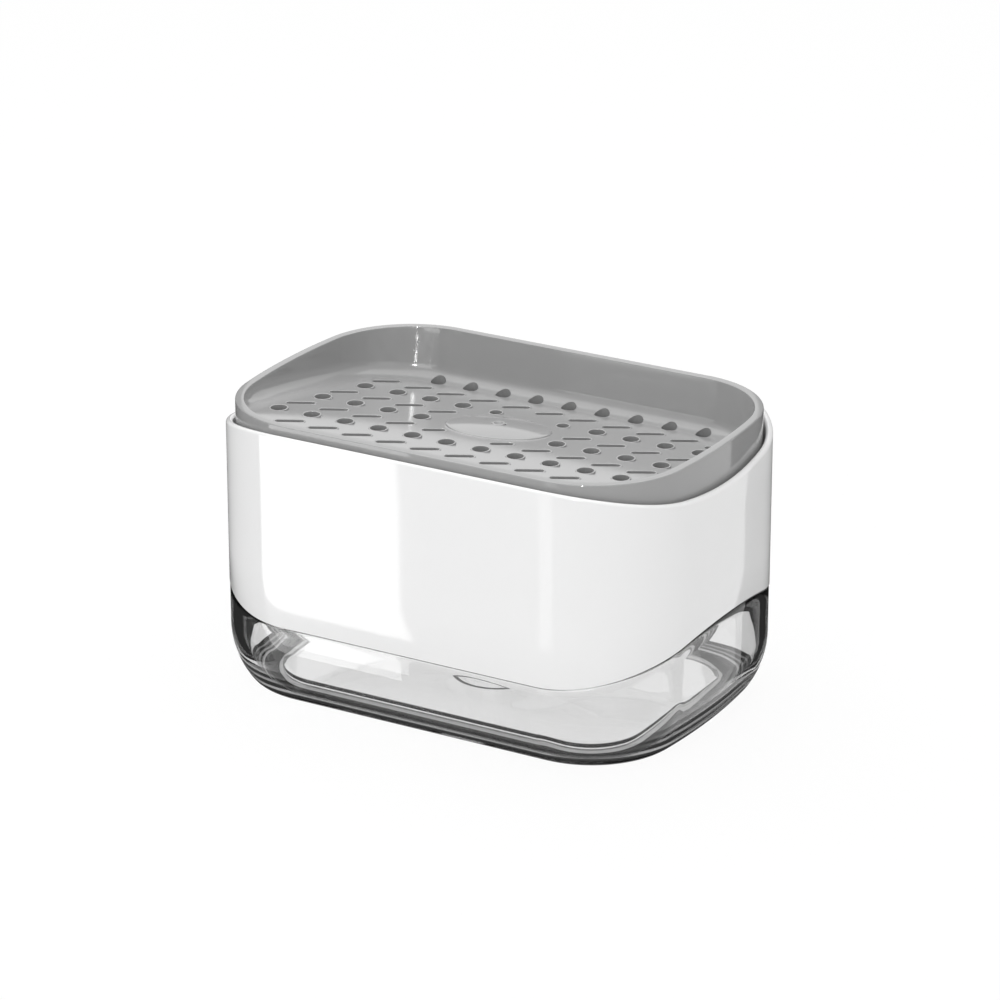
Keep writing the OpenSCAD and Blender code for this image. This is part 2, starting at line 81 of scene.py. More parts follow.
def outline(inset, shape=body):  # one loop of points on the rounded outline with bowed ends
    y = shape["depth"] / 2 - shape["corner"]
    span = shape["bow"] - shape["corner"]
    swing = math.asin(y / span)
    far = shape["bow"] - shape["length"] / 2
    x = span * math.cos(swing) - far
    quarter = []
    for i in range(ringSteps["side"]):
        quarter.append((x * i / ringSteps["side"], shape["depth"] / 2 - inset))
    for i in range(ringSteps["corner"]):
        turn = math.pi / 2 + (swing - math.pi / 2) * i / ringSteps["corner"]
        reach = shape["corner"] - inset
        quarter.append((x + reach * math.cos(turn), y + reach * math.sin(turn)))
    for i in range(ringSteps["end"]):
        turn = swing * (1 - i / ringSteps["end"])
        reach = shape["bow"] - inset
        quarter.append((reach * math.cos(turn) - far, reach * math.sin(turn)))
    half = quarter + [(shape["length"] / 2 - inset, 0)]
    half += [(px, -py) for px, py in reversed(quarter[1:])]
    return half + [(0, inset - shape["depth"] / 2)] + [(-px, py) for px, py in reversed(half[1:])]


def circleLoop(radius):  # a circle with the outline's own count of points and their bearings
    loop = []
    for px, py in outline(0):
        reach = math.hypot(px, py)
        loop.append((radius * px / reach, radius * py / reach))
    return loop


def flat(points, height):  # height is a number, or a function of y
    return [(x, y, height(y) if callable(height) else height) for x, y in points]


def raised(height, lift):
    return (lambda y: height(y) + lift) if callable(height) else height + lift


def edgeRings(edges):  # each edge is a loop, its place across and up, and the steps from there
    return [flat(loop(reach + across), raised(height, up))
            for loop, reach, height, steps in edges for across, up in steps]


def anglesOf(degrees):
    return [math.radians(turn) for turn in degrees]


# Modelling helpers.

def pick(*pieces):  # selects these alone, the first of them active
    if bpy.context.mode != "OBJECT":
        bpy.ops.object.mode_set(mode="OBJECT")
    bpy.ops.object.select_all(action="DESELECT")
    for piece in pieces:
        piece.select_set(True)
    if pieces:
        bpy.context.view_layer.objects.active = pieces[0]


def editAll():
    bpy.ops.object.mode_set(mode="EDIT")
    bpy.ops.mesh.select_all(action="SELECT")


def finishPiece(name, angle=smoothAngle):
    piece = bpy.context.view_layer.objects.active
    piece.name = name
    piece.data.name = name
    editAll()
    bpy.ops.mesh.normals_make_consistent(inside=False)
    bpy.ops.object.mode_set(mode="OBJECT")
    bpy.ops.object.transform_apply(location=True, rotation=True, scale=True)
    bpy.ops.object.shade_smooth_by_angle(angle=math.radians(angle))
    return piece


def layRing(vertices, ring, order):
    for vertex, index in zip(vertices, order):
        vertex.co = [v * mm for v in ring[index]]


def placeOf(vertex):  # a key by which an extruded point finds the point it came from
    return tuple(round(c, placeDigits) for c in vertex.co)


def closeEnd(mesh, ends, count):  # a face over one end ring, or a bridge from the first to the last
    for part in (mesh.vertices, mesh.edges):
        for element in part:
            element.select = False
    for edge in mesh.edges:
        first, second = [vertex // count for vertex in edge.vertices]
        edge.select = first in ends and first == second
    bpy.ops.object.mode_set(mode="EDIT")
    bpy.ops.mesh.select_mode(type="EDGE")
    if len(ends) == 2:
        bpy.ops.mesh.bridge_edge_loops()
    else:
        bpy.ops.mesh.edge_face_add()
    bpy.ops.mesh.select_mode(type="VERT")
    bpy.ops.object.mode_set(mode="OBJECT")


def loftRings(name, rings, ends="open", angle=smoothAngle):
    # A circle is extruded ring by ring, and each new ring is laid on its points.
    pick()
    count = len(rings[0])
    bpy.ops.mesh.primitive_circle_add(vertices=count, radius=startRadius, fill_type="NOTHING")
    mesh = bpy.context.view_layer.objects.active.data
    layRing(mesh.vertices, rings[0], range(count))
    for ring in rings[1:]:
        places = {placeOf(vertex): i for i, vertex in enumerate(mesh.vertices[-count:])}
        bpy.ops.object.mode_set(mode="EDIT")
        bpy.ops.mesh.extrude_region_move()
        bpy.ops.object.mode_set(mode="OBJECT")
        fresh = mesh.vertices[-count:]
        layRing(fresh, ring, [places[placeOf(vertex)] for vertex in fresh])
    last = len(rings) - 1
    for closed in {"open": [], "filled": [{0}, {last}], "loop": [{0, last}]}[ends]:
        closeEnd(mesh, closed, count)
    return finishPiece(name, angle)


def joinInto(name, pieces, angle=smoothAngle):
    pick(*pieces)
    bpy.ops.object.join()
    joined = bpy.context.view_layer.objects.active
    joined.name = name
    bpy.ops.object.shade_smooth_by_angle(angle=math.radians(angle))
    return joined


def roundedBlock(name, low, high, radius):  # a box between two corners
    pick()
    middle = [(a + b) / 2 * mm for a, b in zip(low, high)]
    bpy.ops.mesh.primitive_cube_add(size=1, location=middle)
    bpy.context.view_layer.objects.active.scale = [(b - a) * mm for a, b in zip(low, high)]
    bpy.ops.object.transform_apply(location=True, rotation=True, scale=True)
    editAll()
    bpy.ops.mesh.bevel(offset=radius * mm, segments=2, profile=0.5, affect="EDGES")
    bpy.ops.object.mode_set(mode="OBJECT")
    return finishPiece(name)


def applyModifier(piece, kind, **settings):
    pick(piece)
    modifier = piece.modifiers.new(kind.title(), kind)
    for key, value in settings.items():
        setattr(modifier, key, value)
    bpy.ops.object.modifier_apply(modifier=modifier.name)


def setMaterial(piece, material):
    piece.data.materials.clear()
    piece.data.materials.append(material)


# Materials.

mixSockets = {"share": 0, "colour": 6, "other": 7, "result": 2}  # the Mix node's colour sockets


class Wire:  # one socket, so that patterns read as sums
    def __init__(self, paint, socket):
        self.paint = paint
        self.socket = socket

    def combine(self, operation, first, second):
        return self.paint.node("ShaderNodeMath", {"operation": operation}, {0: first, 1: second})

    def __add__(self, other):
        return self.combine("ADD", self, other)

    def __radd__(self, other):
        return self.combine("ADD", other, self)

    def __sub__(self, other):
        return self.combine("SUBTRACT", self, other)

    def __rsub__(self, other):
        return self.combine("SUBTRACT", other, self)

    def __mul__(self, other):
        return self.combine("MULTIPLY", self, other)

    def __rmul__(self, other):
        return self.combine("MULTIPLY", other, self)

    def __or__(self, other):  # either mask, the larger of the two
        return self.combine("MAXIMUM", self, other)


class Paint:  # the nodes of a material, or of the world
    def __init__(self, owner):
        self.owner = owner
        self.owner.use_nodes = True
        self.tree = owner.node_tree
        self.tree.nodes.clear()

    def node(self, kind, settings=None, sockets=None, out=0):
        made = self.tree.nodes.new(kind)
        for key, value in (settings or {}).items():
            setattr(made, key, value)
        for key, value in (sockets or {}).items():
            if isinstance(value, Wire):
                self.tree.links.new(value.socket, made.inputs[key])
            else:
                made.inputs[key].default_value = value
        return Wire(self, made.outputs[out]) if made.outputs else None

    def noise(self, scale, detail, stretch=(1, 1, 1)):
        place = self.node("ShaderNodeTexCoord", out="Object")
        place = self.node("ShaderNodeMapping", {}, {"Vector": place, "Scale": stretch})
        sockets = {"Vector": place, "Scale": scale, "Detail": detail}
        return self.node("ShaderNodeTexNoise", {}, sockets)

    def tint(self, look, share):  # from the look's dark shade to its light one
        sockets = {mixSockets["share"]: share, mixSockets["colour"]: grey(look["dark"]),
                   mixSockets["other"]: grey(look["light"])}
        return self.node("ShaderNodeMix", {"data_type": "RGBA"}, sockets, mixSockets["result"])

    def bump(self, look, height):
        sockets = {"Height": height, "Strength": look["bump"], "Distance": look["bumpDepth"]}
        return self.node("ShaderNodeBump", {}, sockets)

    def background(self):  # 1 for rays that show the background, 0 for those that light the object
        rays = ("Is Camera Ray", "Is Glossy Ray", "Is Transmission Ray")
        direct, glossy, through = [self.node("ShaderNodeLightPath", out=ray) for ray in rays]
        return direct | glossy | through

    def glow(self, strength):
        return self.node("ShaderNodeEmission", {}, {"Color": grey(1.0), "Strength": strength})

    def finish(self, ends, kind="ShaderNodeOutputMaterial"):
        self.node(kind, {}, ends)
        return self.owner

    def surface(self, sockets, murk=None):  # murk darkens long ways through a clear plastic
        ends = {"Surface": self.node("ShaderNodeBsdfPrincipled", {}, sockets)}
        if murk:
            ends["Volume"] = self.node("ShaderNodeVolumeAbsorption", {}, murk)
        return self.finish(ends)


def newPaint(name):
    return Paint(bpy.data.materials.new(name))


def grey(level):
    return (level, level, level, 1)


def mouldedPlastic(name, look):
    paint = newPaint(name)
    flow = paint.noise(look["flowScale"], detail=2.0)  # slow drift of colour from the flow
    peel = paint.noise(look["peelScale"], detail=3.0)  # fine ripple of the polished mould
    return paint.surface({
        "Base Color": paint.tint(look, flow),
        "Roughness": look["roughness"] + (peel - noiseMiddle) * look["spread"],
        "Normal": paint.bump(look, peel),
        "IOR": look["ior"]})


def clearPlastic(name, look):
    paint = newPaint(name)
    flow = paint.noise(look["flowScale"], detail=2.0)
    peel = paint.noise(look["peelScale"], detail=2.0)
    return paint.surface({
        "Base Color": paint.tint(look, flow),
        "Roughness": look["roughness"] + peel * look["spread"],
        "Transmission Weight": 1.0,
        "IOR": look["ior"]}, {"Color": grey(look["murk"]), "Density": look["density"]})


def softRubber(name, look):
    paint = newPaint(name)
    grain = paint.noise(look["grainScale"], detail=4.0)
    return paint.surface({
        "Base Color": paint.tint(look, grain),
        "Roughness": look["roughness"] + (grain - noiseMiddle) * look["spread"],
        "Normal": paint.bump(look, grain)})


def brightSteel(name, look):
    paint = newPaint(name)
    drawn = paint.noise(look["grainScale"], detail=3.0, stretch=look["stretch"])
    return paint.surface({
        "Base Color": paint.tint(look, drawn),
        "Metallic": 1.0,
        "Roughness": look["roughness"] + (drawn - noiseMiddle) * look["spread"]})


finishes = {
    "white_gloss": mouldedPlastic("glossyWhite", {
        "dark": 0.88, "light": 0.91, "flowScale": 14, "peelScale": 700, "bump": 0.05,
        "bumpDepth": 0.00002, "roughness": 0.10, "spread": 0.05, "ior": 1.5}),
    "grey_gloss": mouldedPlastic("glossyGrey", {
        "dark": 0.34, "light": 0.37, "flowScale": 18, "peelScale": 900, "bump": 0.12,
        "bumpDepth": 0.00002, "roughness": 0.09, "spread": 0.08, "ior": 1.5}),
    "pump_plastic": mouldedPlastic("naturalPump", {
        "dark": 0.62, "light": 0.72, "flowScale": 60, "peelScale": 1500, "bump": 0.2,
        "bumpDepth": 0.00003, "roughness": 0.38, "spread": 0.12, "ior": 1.49}),
    "tube_plastic": mouldedPlastic("milkyTube", {
        "dark": 0.60, "light": 0.70, "flowScale": 80, "peelScale": 1200, "bump": 0.15,
        "bumpDepth": 0.00002, "roughness": 0.32, "spread": 0.10, "ior": 1.5}),
    "soft_seal": softRubber("softSeal", {
        "dark": 0.36, "light": 0.44, "grainScale": 900, "bump": 0.3, "bumpDepth": 0.00003,
        "roughness": 0.55, "spread": 0.1}),
    "steel": brightSteel("brightSteel", {
        "dark": 0.52, "light": 0.66, "grainScale": 600, "stretch": (1, 1, 12),
        "roughness": 0.22, "spread": 0.12}),
    "clear_plastic": clearPlastic("clearTank", {
        "dark": 0.96, "light": 0.98, "flowScale": 20, "peelScale": 800,
        "roughness": 0.0, "spread": 0.03, "ior": 1.49, "murk": 0.2, "density": 30}),
}
slotOf = {entry["node"]: entry["material_slot"] for entry in frame["record"]["subparts"]}
for node, slot in slotOf.items():
    setMaterial(frame["nodes"][node], finishes[slot])
print("materials: done")

# The clear tank. Its edges are small steps, across and up, from the place where the faces meet.
tank = {
    "wall": 3.2, "faceIn": 0.15, "bellyHeight": 16, "bellyRadius": 24, "bellySteps": 10,
    "footRadius": 4, "footWidth": 4, "footSteps": 7, "hollow": 0.8, "floor": 3, "fillet": 3,
    "gutterWidth": 4.5, "gutterDepth": 0.8, "neckIn": 1.7, "top": 37, "sumpRadius": 9.5,
    "sumpDepth": 1, "edge": 0.4, "faceShares": (0.4, 0.8), "innerHeights": (30, 23), "smooth": 40,
    "hollowEdge": [(2, 0), (0.5, 0), (0.1, -0.1), (0, -0.4)],
    "footInside": [(0, 0.3), (-0.1, 0.08), (-0.4, 0), (-1, 0)],
    "footOutside": [(0.6, 0)],
    "roundEdge": [(0, -0.4), (0.12, -0.12), (0.4, 0)],
    "neckFoot": [(-0.25, 0), (-0.07, 0.07), (0, 0.25)],
    "neckInside": [(-0.4, 0), (-0.12, -0.12), (0, -0.4)],
    "gutterFoot": [(-0.8, 0), (-0.3, 0), (-0.08, 0.08), (0, 0.3)],
    "gutterTop": [(0, -0.3), (0.08, -0.08), (0.3, 0), (1, 0)],
    "bead": [(1.8, 0), (1.35, 0.05), (1.15, 0.3), (1.1, 0.55), (0.95, 0.7), (0.6, 0.7),
             (0.45, 0.55), (0.4, 0.2), (0.1, -0.12), (-0.3, -0.6)],
    "sumpFoot": [(-0.6, 0.1), (-1, 0), (-2, 0)]}


def bellyRings(reach, radius, height):  # from the upright wall down and round to a level
    centreX = tank["faceIn"] + tank["bellyRadius"]
    drop = tank["bellyHeight"] - height - radius
    x = centreX - math.sqrt((reach - radius) ** 2 - drop ** 2)
    bend = math.pi + math.atan2(drop, centreX - x)
    points = []
    for i in range(tank["bellySteps"] + 1):
        turn = math.pi + (bend - math.pi) * i / tank["bellySteps"]
        points.append((centreX + reach * math.cos(turn),
                       tank["bellyHeight"] + reach * math.sin(turn)))
    for i in range(1, tank["footSteps"] + 1):
        turn = bend + (1.5 * math.pi - bend) * i / tank["footSteps"]
        points.append((x + radius * math.cos(turn), height + radius + radius * math.sin(turn)))
    return points


def makeTank():
    gutter = tank["floor"] - tank["gutterDepth"]
    inside = tank["bellyRadius"] + tank["faceIn"] - tank["wall"]
    outer = bellyRings(tank["bellyRadius"], tank["footRadius"], 0)
    inner = bellyRings(inside, tank["fillet"], gutter)
    footX = outer[-1][0]
    floorX = footX + tank["footWidth"]
    gutterX = inner[-1][0] + tank["gutterWidth"]
    low = tank["bellyHeight"]

    def shoulder(y):
        return seamHeight(y, -seam["gap"] / 2)

    rings = edgeRings([
        (outline, floorX, tank["hollow"], tank["hollowEdge"]),
        (outline, floorX, 0, tank["footInside"]),
        (outline, footX, 0, tank["footOutside"])])
    rings += [flat(outline(x), z) for x, z in reversed(outer)]
    for share in tank["faceShares"]:
        rings.append([(x, y, low + share * (shoulder(y) - tank["edge"] - low))
                      for x, y in outline(tank["faceIn"])])
    rings += edgeRings([
        (outline, tank["faceIn"], shoulder, tank["roundEdge"]),
        (outline, tank["neckIn"], shoulder, tank["neckFoot"]),
        (outline, tank["neckIn"], tank["top"], tank["roundEdge"]),
        (outline, tank["wall"], tank["top"], tank["neckInside"])])
    rings += [flat(outline(tank["wall"]), height) for height in tank["innerHeights"]]
    rings += [flat(outline(x), z) for x, z in inner]
    rings += edgeRings([
        (outline, gutterX, gutter, tank["gutterFoot"]),
        (outline, gutterX, tank["floor"], tank["gutterTop"]),
        (circleLoop, tank["sumpRadius"], tank["floor"], tank["bead"]),
        (circleLoop, tank["sumpRadius"], tank["floor"] - tank["sumpDepth"], tank["sumpFoot"])])
    return loftRings("tankBody", rings, "filled", tank["smooth"])


tankBody = makeTank()
setMaterial(tankBody, finishes["clear_plastic"])
tankBody.visible_shadow = False
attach(tankBody, "tank")
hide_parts("tank")
print("tank: done")

# The white cover, from its hem over the lip, down to the deck, through the neck and back.
cover = {
    "wall": 2.0, "skirt": 1.4, "deckTop": 40, "deck": 2, "neckRadius": 14, "boreRadius": 11.6,
    "neckTop": 49.84, "plugIn": 5.1, "plugWall": 1.6, "plugDrop": 3.6, "nose": 1.1,
    "noseOutside": (0, 15, 30, 45, 60, 75, 90), "noseInside": (30, 60, 90),
    "ribWidth": 3, "ribReach": 0.3, "ribBite": 0.6, "ribTop": 62, "ribRound": 0.12, "ribParts": 6,
    "faceShares": (0.25, 0.5, 0.75), "smooth": 35,
    "hemStart": [(-0.35, 0)],
    "hemOutside": [(0.35, 0), (0.1, 0.1), (0, 0.35)],
    "hemInside": [(0, 0.35), (-0.1, 0.1)],
    "deckEdge": [(0, 12), (0, 0.8), (0.24, 0.24), (0.8, 0), (2, 0), (6, 0)],
    "neckFoot": [(3, 0), (1, 0), (0.3, 0.3), (0, 1)],
    "neckEdge": [(0, -0.4), (-0.1, -0.1), (-0.4, 0)],
    "boreTop": [(0.3, 0), (0, -0.3)],
    "boreFoot": [(0, 0.3), (0.3, 0), (2, 0)],
    "plugStart": [(1, 0), (0, -0.5)],
    "plugFootIn": [(0, 0.3), (-0.3, 0)],
    "plugFootOut": [(0.3, 0), (0, 0.3)],
    "skirtTop": [(0.5, 0), (0, -0.5)]}


def makeCoverRibs():  # short upright guides for the tray, on the wall above the deck
    half, apart = cover["ribWidth"] / 2, body["length"] / cover["ribParts"]
    spots = []

    def span(place, side):  # from a little before the wall's face to a little within the wall
        return sorted((place - side * cover["ribReach"], place + side * cover["ribBite"]))

    for side in (1, -1):
        low, high = span(side * (body["depth"] / 2 - cover["wall"]), side)
        for x in (-apart, 0, apart):
            spots.append(((x - half, low), (x + half, high)))
        low, high = span(side * (body["length"] / 2 - cover["wall"]), side)
        spots.append(((low, -half), (high, half)))
    return [roundedBlock("rib", (*low, cover["deckTop"]), (*high, cover["ribTop"]),
                         cover["ribRound"]) for low, high in spots]


def makeCover():
    wall, skirt, nose = cover["wall"], cover["skirt"], cover["nose"]
    under = cover["deckTop"] - cover["deck"]
    plugWall = cover["plugIn"] + cover["plugWall"]
    plugFoot = under - cover["plugDrop"]
    rest = wall - nose

    def hem(y):
        return seamHeight(y, seam["gap"] / 2)

    rings = edgeRings([
        (outline, skirt, hem, cover["hemStart"]),
        (outline, 0, hem, cover["hemOutside"])])
    for share in cover["faceShares"]:
        rings.append([(x, y, hem(y) + share * (lipHeight(y) - hem(y))) for x, y in outline(0)])
    rings += [flat(outline(nose * (1 - math.cos(turn))),
                   raised(lipHeight, nose * math.sin(turn) - nose))
              for turn in anglesOf(cover["noseOutside"])]
    rings += [flat(outline(nose + rest * math.sin(turn)),
                   raised(lipHeight, rest * math.cos(turn) - rest))
              for turn in anglesOf(cover["noseInside"])]
    rings += edgeRings([
        (outline, wall, cover["deckTop"], cover["deckEdge"]),
        (circleLoop, cover["neckRadius"], cover["deckTop"], cover["neckFoot"]),
        (circleLoop, cover["neckRadius"], cover["neckTop"], cover["neckEdge"]),
        (circleLoop, cover["boreRadius"], cover["neckTop"], cover["boreTop"]),
        (circleLoop, cover["boreRadius"], under, cover["boreFoot"]),
        (outline, plugWall, under, cover["plugStart"]),
        (outline, plugWall, plugFoot, cover["plugFootIn"]),
        (outline, cover["plugIn"], plugFoot, cover["plugFootOut"]),
        (outline, cover["plugIn"], under, plain),
        (outline, skirt, under, cover["skirtTop"]),
        (outline, skirt, hem, cover["hemInside"])])
    shell = loftRings("coverBody", rings, "loop", cover["smooth"])
    return joinInto("coverBody", [shell] + makeCoverRibs(), cover["smooth"])


coverBody = makeCover()
setMaterial(coverBody, finishes["white_gloss"])
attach(coverBody, "cover")
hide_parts("cover")
print("cover: done")

# The grey press tray: a tub with a floor that slopes down to the back.
tray = {
    "edgeIn": 2.6, "wall": 1.8, "rimWidth": 2.4, "rimTop": 80, "foot": 58, "floor": 2.2,
    "tilt": 9.6, "frontStep": 0.6, "outerRound": 0.4, "outerAngles": (0, 22, 45, 67, 90),
    "fillet": 4.5, "filletLeast": 0.4, "filletFade": 0.8, "filletSteps": 10, "floorIn": 1.5,
    "padRadius": 15.8, "padDepth": 1.1, "bossRadius": 6.9, "bossFoot": 63.54,
    "socketRadius": 4.55, "stemTop": 68.04, "channelRadius": 1.2, "seatOut": 68.84,
    "seatIn": 68.8, "spoutRadius": 1.85, "spoutDrop": 0.1, "smooth": 35, "normalWeight": 80,
    "footOutside": [(0.3, 0), (0, 0.3)],
    "wallTop": [(0, -10)],
    "socketFoot": [(0, 0.3), (0.3, 0)],
    "bossFootEdge": [(-0.3, 0), (0, 0.3)],
    "underEdge": [(1, 0), (0, -1)],
    "footInside": [(0, 0.3), (-0.3, 0)]}
rim = {
    "round": 0.35, "roundShare": 0.4,  # the inner edge's radius, and at most this share of the wall
    "flatOut": 0.3, "roundOut": 1.2, "midIn": 0.35, "midDrop": 0.2,  # the points over that edge
    "wallShares": (0.6, 0.25),  # rings on a plain wall, as shares of its height
    "bendShares": (0, 0.02, 0.04), "bendStart": 0.06,  # and where the fillet takes up the wall
    "rounds": 12}  # of the search for the level of the rim
dome = {
    "radius": 14.2, "rise": 1.35, "edge": 0.4,
    "foot": [(1.2, 0), (0.45, 0), (0.2, 0.03), (0.06, 0.1), (0, 0.2), (-0.06, 0.3),
             (-0.22, 0.39)],
    "crownEdge": (0.45, 0.9), "crown": (12, 10, 8, 6, 4), "holeEdge": (0.6, 0.2)}
tilt = math.radians(tray["tilt"])
cavityIn = tray["edgeIn"] + tray["rimWidth"]
cavityLevel = body["depth"] / 2 - cavityIn
cavity = {"length": body["length"] - 2 * cavityIn,
          "depth": (body["depth"] - 2 * cavityIn) * math.cos(tilt),
          "corner": body["corner"] - cavityIn, "bow": body["bow"] - cavityIn}
floorHeight = tray["rimTop"] - tray["frontStep"] - cavityLevel * math.tan(tilt)
cavityShift = (tray["rimTop"] - floorHeight) * math.sin(tilt)


def onFloor(x, y, lift):  # from the sloped floor's own frame to the caddy's
    return (x, y * math.cos(tilt) + lift * math.sin(tilt),
            floorHeight - y * math.sin(tilt) + lift * math.cos(tilt))


def floorAt(y):
    return floorHeight - y * math.tan(tilt)


def filletAt(lift):  # the fillet fades out towards the front, where the floor meets the rim
    return min(tray["fillet"], tray["filletLeast"] + tray["filletFade"] * lift)


def wallColumn(start, out):  # points from the rim down the wall to the floor, at one bearing
    def shiftedY(inset):
        return start[1] - out[1] * inset - cavityShift

    def place(inset, lift):
        return onFloor(start[0] - out[0] * inset, shiftedY(inset), lift)

    def rimLift(inset):
        return (tray["rimTop"] - floorHeight + shiftedY(inset) * math.sin(tilt)) / math.cos(tilt)

    def bendPlace(turn):
        return place(radius * (1 - math.cos(turn)), radius * (1 - math.sin(turn)))

    radius = filletAt(rimLift(0))
    inset = 0.0
    for _ in range(rim["rounds"]):  # where the wall or its fillet meets the level of the rim
        lift = rimLift(inset)
        inset = 0.0 if lift >= radius else radius * (1 - math.cos(math.asin(1 - lift / radius)))
    soft = min(rim["round"], rim["roundShare"] * lift)
    top = lift - soft
    outer = inset - rim["roundOut"] * soft
    middle = inset - rim["midIn"] * soft
    column = [place(outer - rim["flatOut"], rimLift(outer - rim["flatOut"])),
              place(outer, rimLift(outer)),
              place(middle, rimLift(middle) - rim["midDrop"] * soft)]
    if top >= radius:
        bend = 0.0
        column.append(place(0, top))
        column += [place(0, radius + share * (top - radius)) for share in rim["wallShares"]]
    else:
        bend = math.asin(1 - top / radius)
        column += [bendPlace(bend + (math.pi / 2 - bend) * share) for share in rim["bendShares"]]
        bend = bend + (math.pi / 2 - bend) * rim["bendStart"]
    for i in range(tray["filletSteps"] + 1):
        column.append(bendPlace(bend + (math.pi / 2 - bend) * i / tray["filletSteps"]))
    return column


def wallRings():
    columns = []
    for (x0, y0), (x1, y1) in zip(outline(0, cavity), outline(-1, cavity)):
        columns.append(wallColumn((x0, y0), (x1 - x0, y1 - y0)))
    return [[column[i] for column in columns] for i in range(len(columns[0]))]


def domeLift(reach):  # height of the low dome over the floor
    rise = dome["rise"] - dome["edge"]
    radius = (dome["radius"] ** 2 + rise ** 2) / (2 * rise)
    return dome["rise"] - radius + math.sqrt(radius ** 2 - reach ** 2)


def domeRings():  # from the floor over the dome to the hole for the spout
    hole = tray["spoutRadius"]
    rings = [(dome["radius"] + across, up) for across, up in dome["foot"]]
    crown = [dome["radius"] - step for step in dome["crownEdge"]] + list(dome["crown"])
    crown += [hole + step for step in dome["holeEdge"]]
    rings += [(reach, domeLift(reach)) for reach in crown]
    rings.append((hole, domeLift(hole) - tray["spoutDrop"]))
    return [[onFloor(x, y, lift) for x, y in circleLoop(reach)] for reach, lift in rings]


def makeTrayShell():
    top, edge, soft = tray["rimTop"], tray["edgeIn"], tray["outerRound"]
    under = tray["floor"] / math.cos(tilt)
    pad = tray["padDepth"] / math.cos(tilt)
    inner = edge + tray["wall"]

    def underside(y):
        return floorAt(y) - under

    rings = edgeRings([
        (outline, edge, tray["foot"], tray["footOutside"]),
        (outline, edge, top, tray["wallTop"])])
    rings += [flat(outline(edge + soft * (1 - math.cos(turn))), top - soft + soft * math.sin(turn))
              for turn in anglesOf(tray["outerAngles"])]
    rings += wallRings()
    rings.append([onFloor(x, y - cavityShift, 0)
                  for x, y in outline(tray["fillet"] + tray["floorIn"], cavity)])
    rings += domeRings()
    rings += edgeRings([
        (circleLoop, tray["spoutRadius"], tray["seatOut"], plain),
        (circleLoop, tray["channelRadius"], tray["seatIn"], plain),
        (circleLoop, tray["channelRadius"], tray["stemTop"], plain),
        (circleLoop, tray["socketRadius"], tray["stemTop"], plain),
        (circleLoop, tray["socketRadius"], tray["bossFoot"], tray["socketFoot"]),
        (circleLoop, tray["bossRadius"], tray["bossFoot"], tray["bossFootEdge"]),
        (circleLoop, tray["bossRadius"], raised(underside, -pad), plain),
        (circleLoop, tray["padRadius"], raised(underside, -pad), plain),
        (circleLoop, tray["padRadius"], underside, plain),
        (outline, inner, underside, tray["underEdge"]),
        (outline, inner, tray["foot"], tray["footInside"])])
    return loftRings("trayBody", rings, "loop", tray["smooth"])


drains = {
    # rows of slots and of round holes in turn, left out over the dome
    # clear and near are in radii of the dome, and drains nearer than near are smaller
    "pitchX": 10.43, "pitchY": 10.9, "rows": 8, "longRow": 5, "shortRow": 4, "clear": 1.32,
    "near": 1.5, "nearScale": 0.75, "holeRadius": 2.15, "slotLength": 7.8, "slotWidth": 1.8,
    "slotAngle": 46, "steps": 28, "collar": 0.5, "cutterGrow": 0.2, "cutterReach": 12,
    "collarSmooth": 60,
    "profile": [(0, -1.6), (0, -0.22), (0.07, -0.06), (0.2, 0), (0.3, 0), (0.43, -0.06),
                (0.5, -0.22), (0.5, -2)]}


def drainRing(slot, scale, grow, lift):
    # A mouth is level across its width, so that it stands proud of the sloped floor behind.
    turn = math.radians(drains["slotAngle"]) if slot else 0.0
    width = drains["slotWidth"] / 2 if slot else drains["holeRadius"] * scale
    run = (drains["slotLength"] / 2 - width) * scale if slot else 0.0
    front = (width + drains["collar"]) * math.cos(turn)
    ring = []
    for i in range(drains["steps"]):
        # half a step round, so that no point lies between the two ends of a slot
        bearing = 2 * math.pi * (i + 0.5) / drains["steps"]
        along = (width + grow) * math.cos(bearing) + math.copysign(run, math.cos(bearing))
        across = (width + grow) * math.sin(bearing)
        axis = max(-run, min(run, along)) * math.sin(turn)
        ring.append((along * math.cos(turn) - across * math.sin(turn),
                     along * math.sin(turn) + across * math.cos(turn),
                     floorAt(axis - front) + lift))
    return ring


def makeDrain(slot, scale, inFillet):  # one cutter, and the collar that it leaves standing
    grow = 0 if inFillet else drains["cutterGrow"]
    reach = drains["cutterReach"]
    cutter = [drainRing(slot, scale, grow, lift) for lift in (-reach, reach)]
    collar = [drainRing(slot, scale, across, up) for across, up in drains["profile"]]
    return (loftRings("drainCutter", cutter, "filled"),
            loftRings("drainCollar", collar, "loop", drains["collarSmooth"]))


def copyOnFloor(piece, x, y):
    pick(piece)
    shift = [v * mm for v in (x, y, floorAt(y) - floorAt(0))]
    bpy.ops.object.duplicate_move(TRANSFORM_OT_translate={"value": shift})
    return bpy.context.view_layer.objects.active


